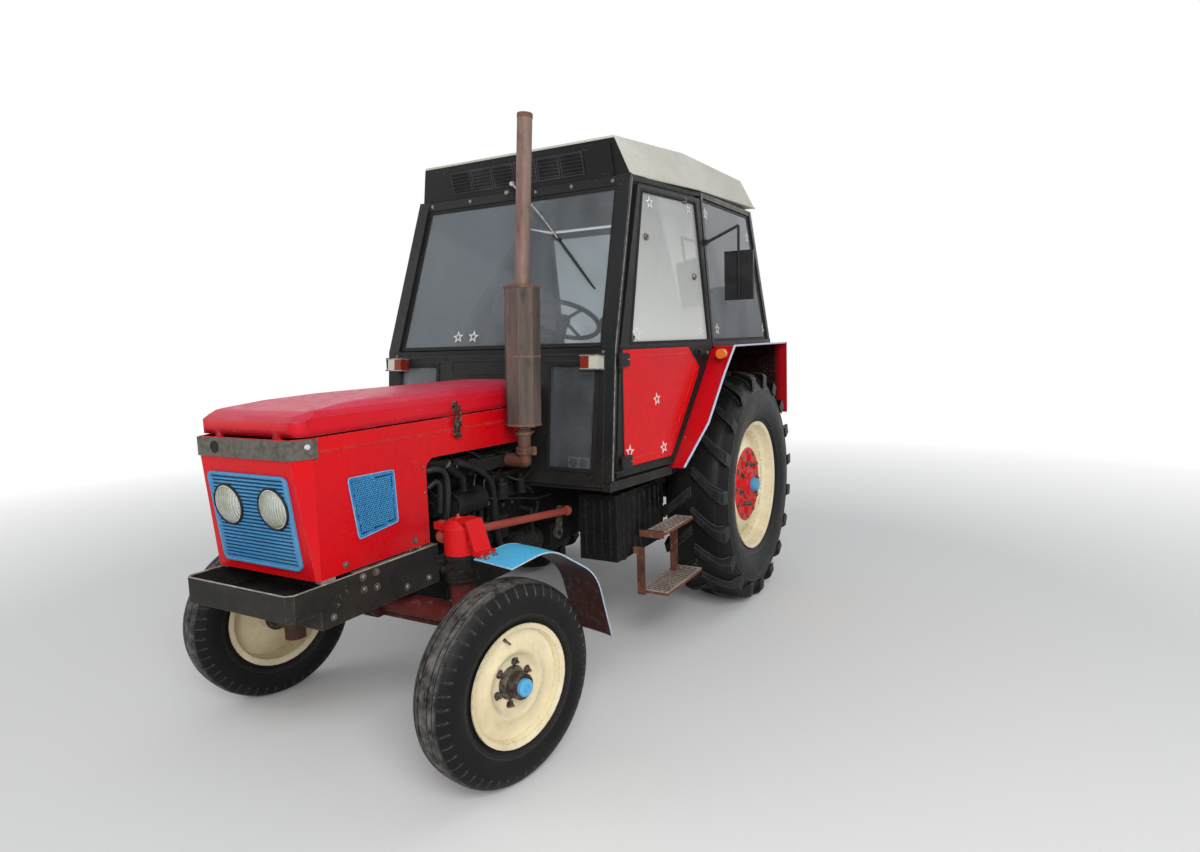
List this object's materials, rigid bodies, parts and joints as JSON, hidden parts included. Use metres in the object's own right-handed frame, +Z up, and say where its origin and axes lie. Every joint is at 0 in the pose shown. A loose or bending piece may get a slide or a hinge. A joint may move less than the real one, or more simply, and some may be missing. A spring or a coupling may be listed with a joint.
{
  "type": "vintage tractor",
  "caption": "Two-wheel-drive farm tractor with a closed cab, hinged bonnet lid and doors, steered front wheels, lugged rear tyres and a rear three-point hitch.",
  "frame": {"origin": "middle of the tractor's outline, on the ground", "axes": "+Z up, +Y towards the rear hitch, +X towards the tractor's left side"},
  "size_m": [2.0434, 3.7199, 2.55],
  "materials": {
    "chassis_black": "semi-matt",
    "axle_rust": "rusty",
    "engine_grime": "oily matt",
    "radiator_black": "matt",
    "body_red": "gloss",
    "trim_blue": "gloss",
    "lamp_glass": "clear",
    "band_grey": "satin",
    "exhaust_rust": "rusty",
    "cab_black": "satin",
    "cab_mat": "matt",
    "roof_white": "satin",
    "glass": "clear",
    "dash_black": "matt",
    "seat_vinyl": "vinyl",
    "step_rust": "rusty",
    "mirror_black": "matt",
    "lamp_amber": "gloss",
    "lid_red": "faded gloss",
    "axle_red": "worn gloss",
    "tyre": "worn rubber",
    "rim_cream": "satin"
  },
  "bodies": {
    "root": {"front_frame": "chassis_black", "front_axle": "axle_rust", "engine": "engine_grime", "engine_fittings": "engine_grime", "radiator": "radiator_black", "transmission": "engine_grime", "nose_shell": "body_red", "grille": "trim_blue", "headlamps": "lamp_glass", "side_meshes": "trim_blue", "hood_trim": "band_grey", "exhaust": "exhaust_rust", "cab_frame": "cab_black", "cab_floor": "cab_mat", "roof": "roof_white", "roof_fascia": "cab_black", "windscreen": "glass", "side_windows": "glass", "rear_window": "glass", "rear_fenders": "body_red", "dashboard": "dash_black", "seat": "seat_vinyl", "controls": "dash_black", "steps": "step_rust", "side_tanks": "chassis_black", "mirrors": "mirror_black", "lamps": "lamp_amber", "wiper": "cab_black", "hitch_frame": "chassis_black"},
    "hood_lid": {"hood_lid": "lid_red"},
    "left_door": {"left_door": "body_red", "left_door_glass": "glass"},
    "right_door": {"right_door": "body_red", "right_door_glass": "glass"},
    "steering_wheel": {"steering_wheel": "dash_black"},
    "left_knuckle": {"left_knuckle": "axle_red", "left_front_fender": "trim_blue"},
    "right_knuckle": {"right_knuckle": "axle_red", "right_front_fender": "trim_blue"},
    "track_rod": {"track_rod": "axle_rust"},
    "drag_link": {"drag_link": "axle_red"},
    "pitman_arm": {"pitman_arm": "chassis_black"},
    "left_front_wheel": {"left_front_tyre": "tyre", "left_front_rim": "rim_cream"},
    "right_front_wheel": {"right_front_tyre": "tyre", "right_front_rim": "rim_cream"},
    "left_rear_wheel": {"left_rear_tyre": "tyre", "left_rear_rim": "rim_cream"},
    "right_rear_wheel": {"right_rear_tyre": "tyre", "right_rear_rim": "rim_cream"},
    "lower_links": {"lower_links": "chassis_black"},
    "lift_arms": {"lift_arms": "chassis_black"},
    "lift_rods": {"lift_rods": "chassis_black"}
  },
  "joints": [
    {"name": "hood", "type": "hinge", "parent": "root", "child": "hood_lid", "pos_m": [0, -1.76, 1.28], "axis": [1, 0, 0], "range_deg": [0, 50]},
    {"name": "left_door_hinge", "type": "hinge", "parent": "root", "child": "left_door", "pos_m": [0.71006, -0.37801, 1.2], "axis": [0, 0, -1], "range_deg": [0, 75]},
    {"name": "right_door_hinge", "type": "hinge", "parent": "root", "child": "right_door", "pos_m": [-0.71006, -0.37801, 1.2], "axis": [0, 0, 1], "range_deg": [0, 75]},
    {"name": "steering", "type": "hinge", "parent": "root", "child": "left_knuckle", "pos_m": [0.485, -1.263, 0.367], "axis": [0, 0, 1], "range_deg": [-26, 50]},
    {"name": "right_kingpin", "type": "hinge", "parent": "root", "child": "right_knuckle", "pos_m": [-0.485, -1.263, 0.367], "axis": [0, 0, 1], "range_deg": [-26, 50]},
    {"name": "track_rod_ball", "type": "hinge", "parent": "left_knuckle", "child": "track_rod", "pos_m": [0.51619, -1.11628, 0.42], "axis": [0, 0, 1], "range_deg": [-50, 26]},
    {"name": "drag_link_ball", "type": "hinge", "parent": "left_knuckle", "child": "drag_link", "pos_m": [0.3774, -1.24013, 0.846], "axis": [0, 0, 1], "range_deg": [-50, 26]},
    {"name": "pitman_shaft", "type": "hinge", "parent": "root", "child": "pitman_arm", "pos_m": [0.336, -0.368, 0.647], "axis": [1, 0, 0], "range_deg": [-26, 50]},
    {"name": "steering_column", "type": "hinge", "parent": "root", "child": "steering_wheel", "pos_m": [0, 0.292, 1.69], "axis": [0, 0.5, 0.866], "range_deg": [-416, 800]},
    {"name": "left_front_roll", "type": "hinge", "parent": "left_knuckle", "child": "left_front_wheel", "pos_m": [0.70508, -1.30978, 0.367], "axis": [0.9781, -0.2079, 0], "continuous": true},
    {"name": "right_front_roll", "type": "hinge", "parent": "right_knuckle", "child": "right_front_wheel", "pos_m": [-0.70508, -1.21622, 0.367], "axis": [0.9781, -0.2079, 0], "continuous": true},
    {"name": "left_rear_roll", "type": "hinge", "parent": "root", "child": "left_rear_wheel", "pos_m": [0.75, 0.962, 0.68], "axis": [1, 0, 0], "continuous": true},
    {"name": "right_rear_roll", "type": "hinge", "parent": "root", "child": "right_rear_wheel", "pos_m": [-0.75, 0.962, 0.68], "axis": [1, 0, 0], "continuous": true},
    {"name": "hitch_lift", "type": "hinge", "parent": "root", "child": "lower_links", "pos_m": [0, 1.022, 0.44], "axis": [1, 0, 0], "range_deg": [-14, 28]},
    {"name": "lift_shaft", "type": "hinge", "parent": "root", "child": "lift_arms", "pos_m": [0, 1.092, 0.9], "axis": [1, 0, 0], "range_deg": [-14, 28]},
    {"name": "lift_rod_pin", "type": "hinge", "parent": "lift_arms", "child": "lift_rods", "pos_m": [0, 1.392, 0.9], "axis": [1, 0, 0], "range_deg": [-28, 14]}
  ],
  "couplings": [
    {"joint": "right_kingpin", "follows": "steering", "ratio": 1},
    {"joint": "track_rod_ball", "follows": "steering", "ratio": -1},
    {"joint": "drag_link_ball", "follows": "steering", "ratio": -1},
    {"joint": "pitman_shaft", "follows": "steering", "ratio": 1},
    {"joint": "steering_column", "follows": "steering", "ratio": 16},
    {"joint": "lift_shaft", "follows": "hitch_lift", "ratio": 1},
    {"joint": "lift_rod_pin", "follows": "hitch_lift", "ratio": -1}
  ]
}
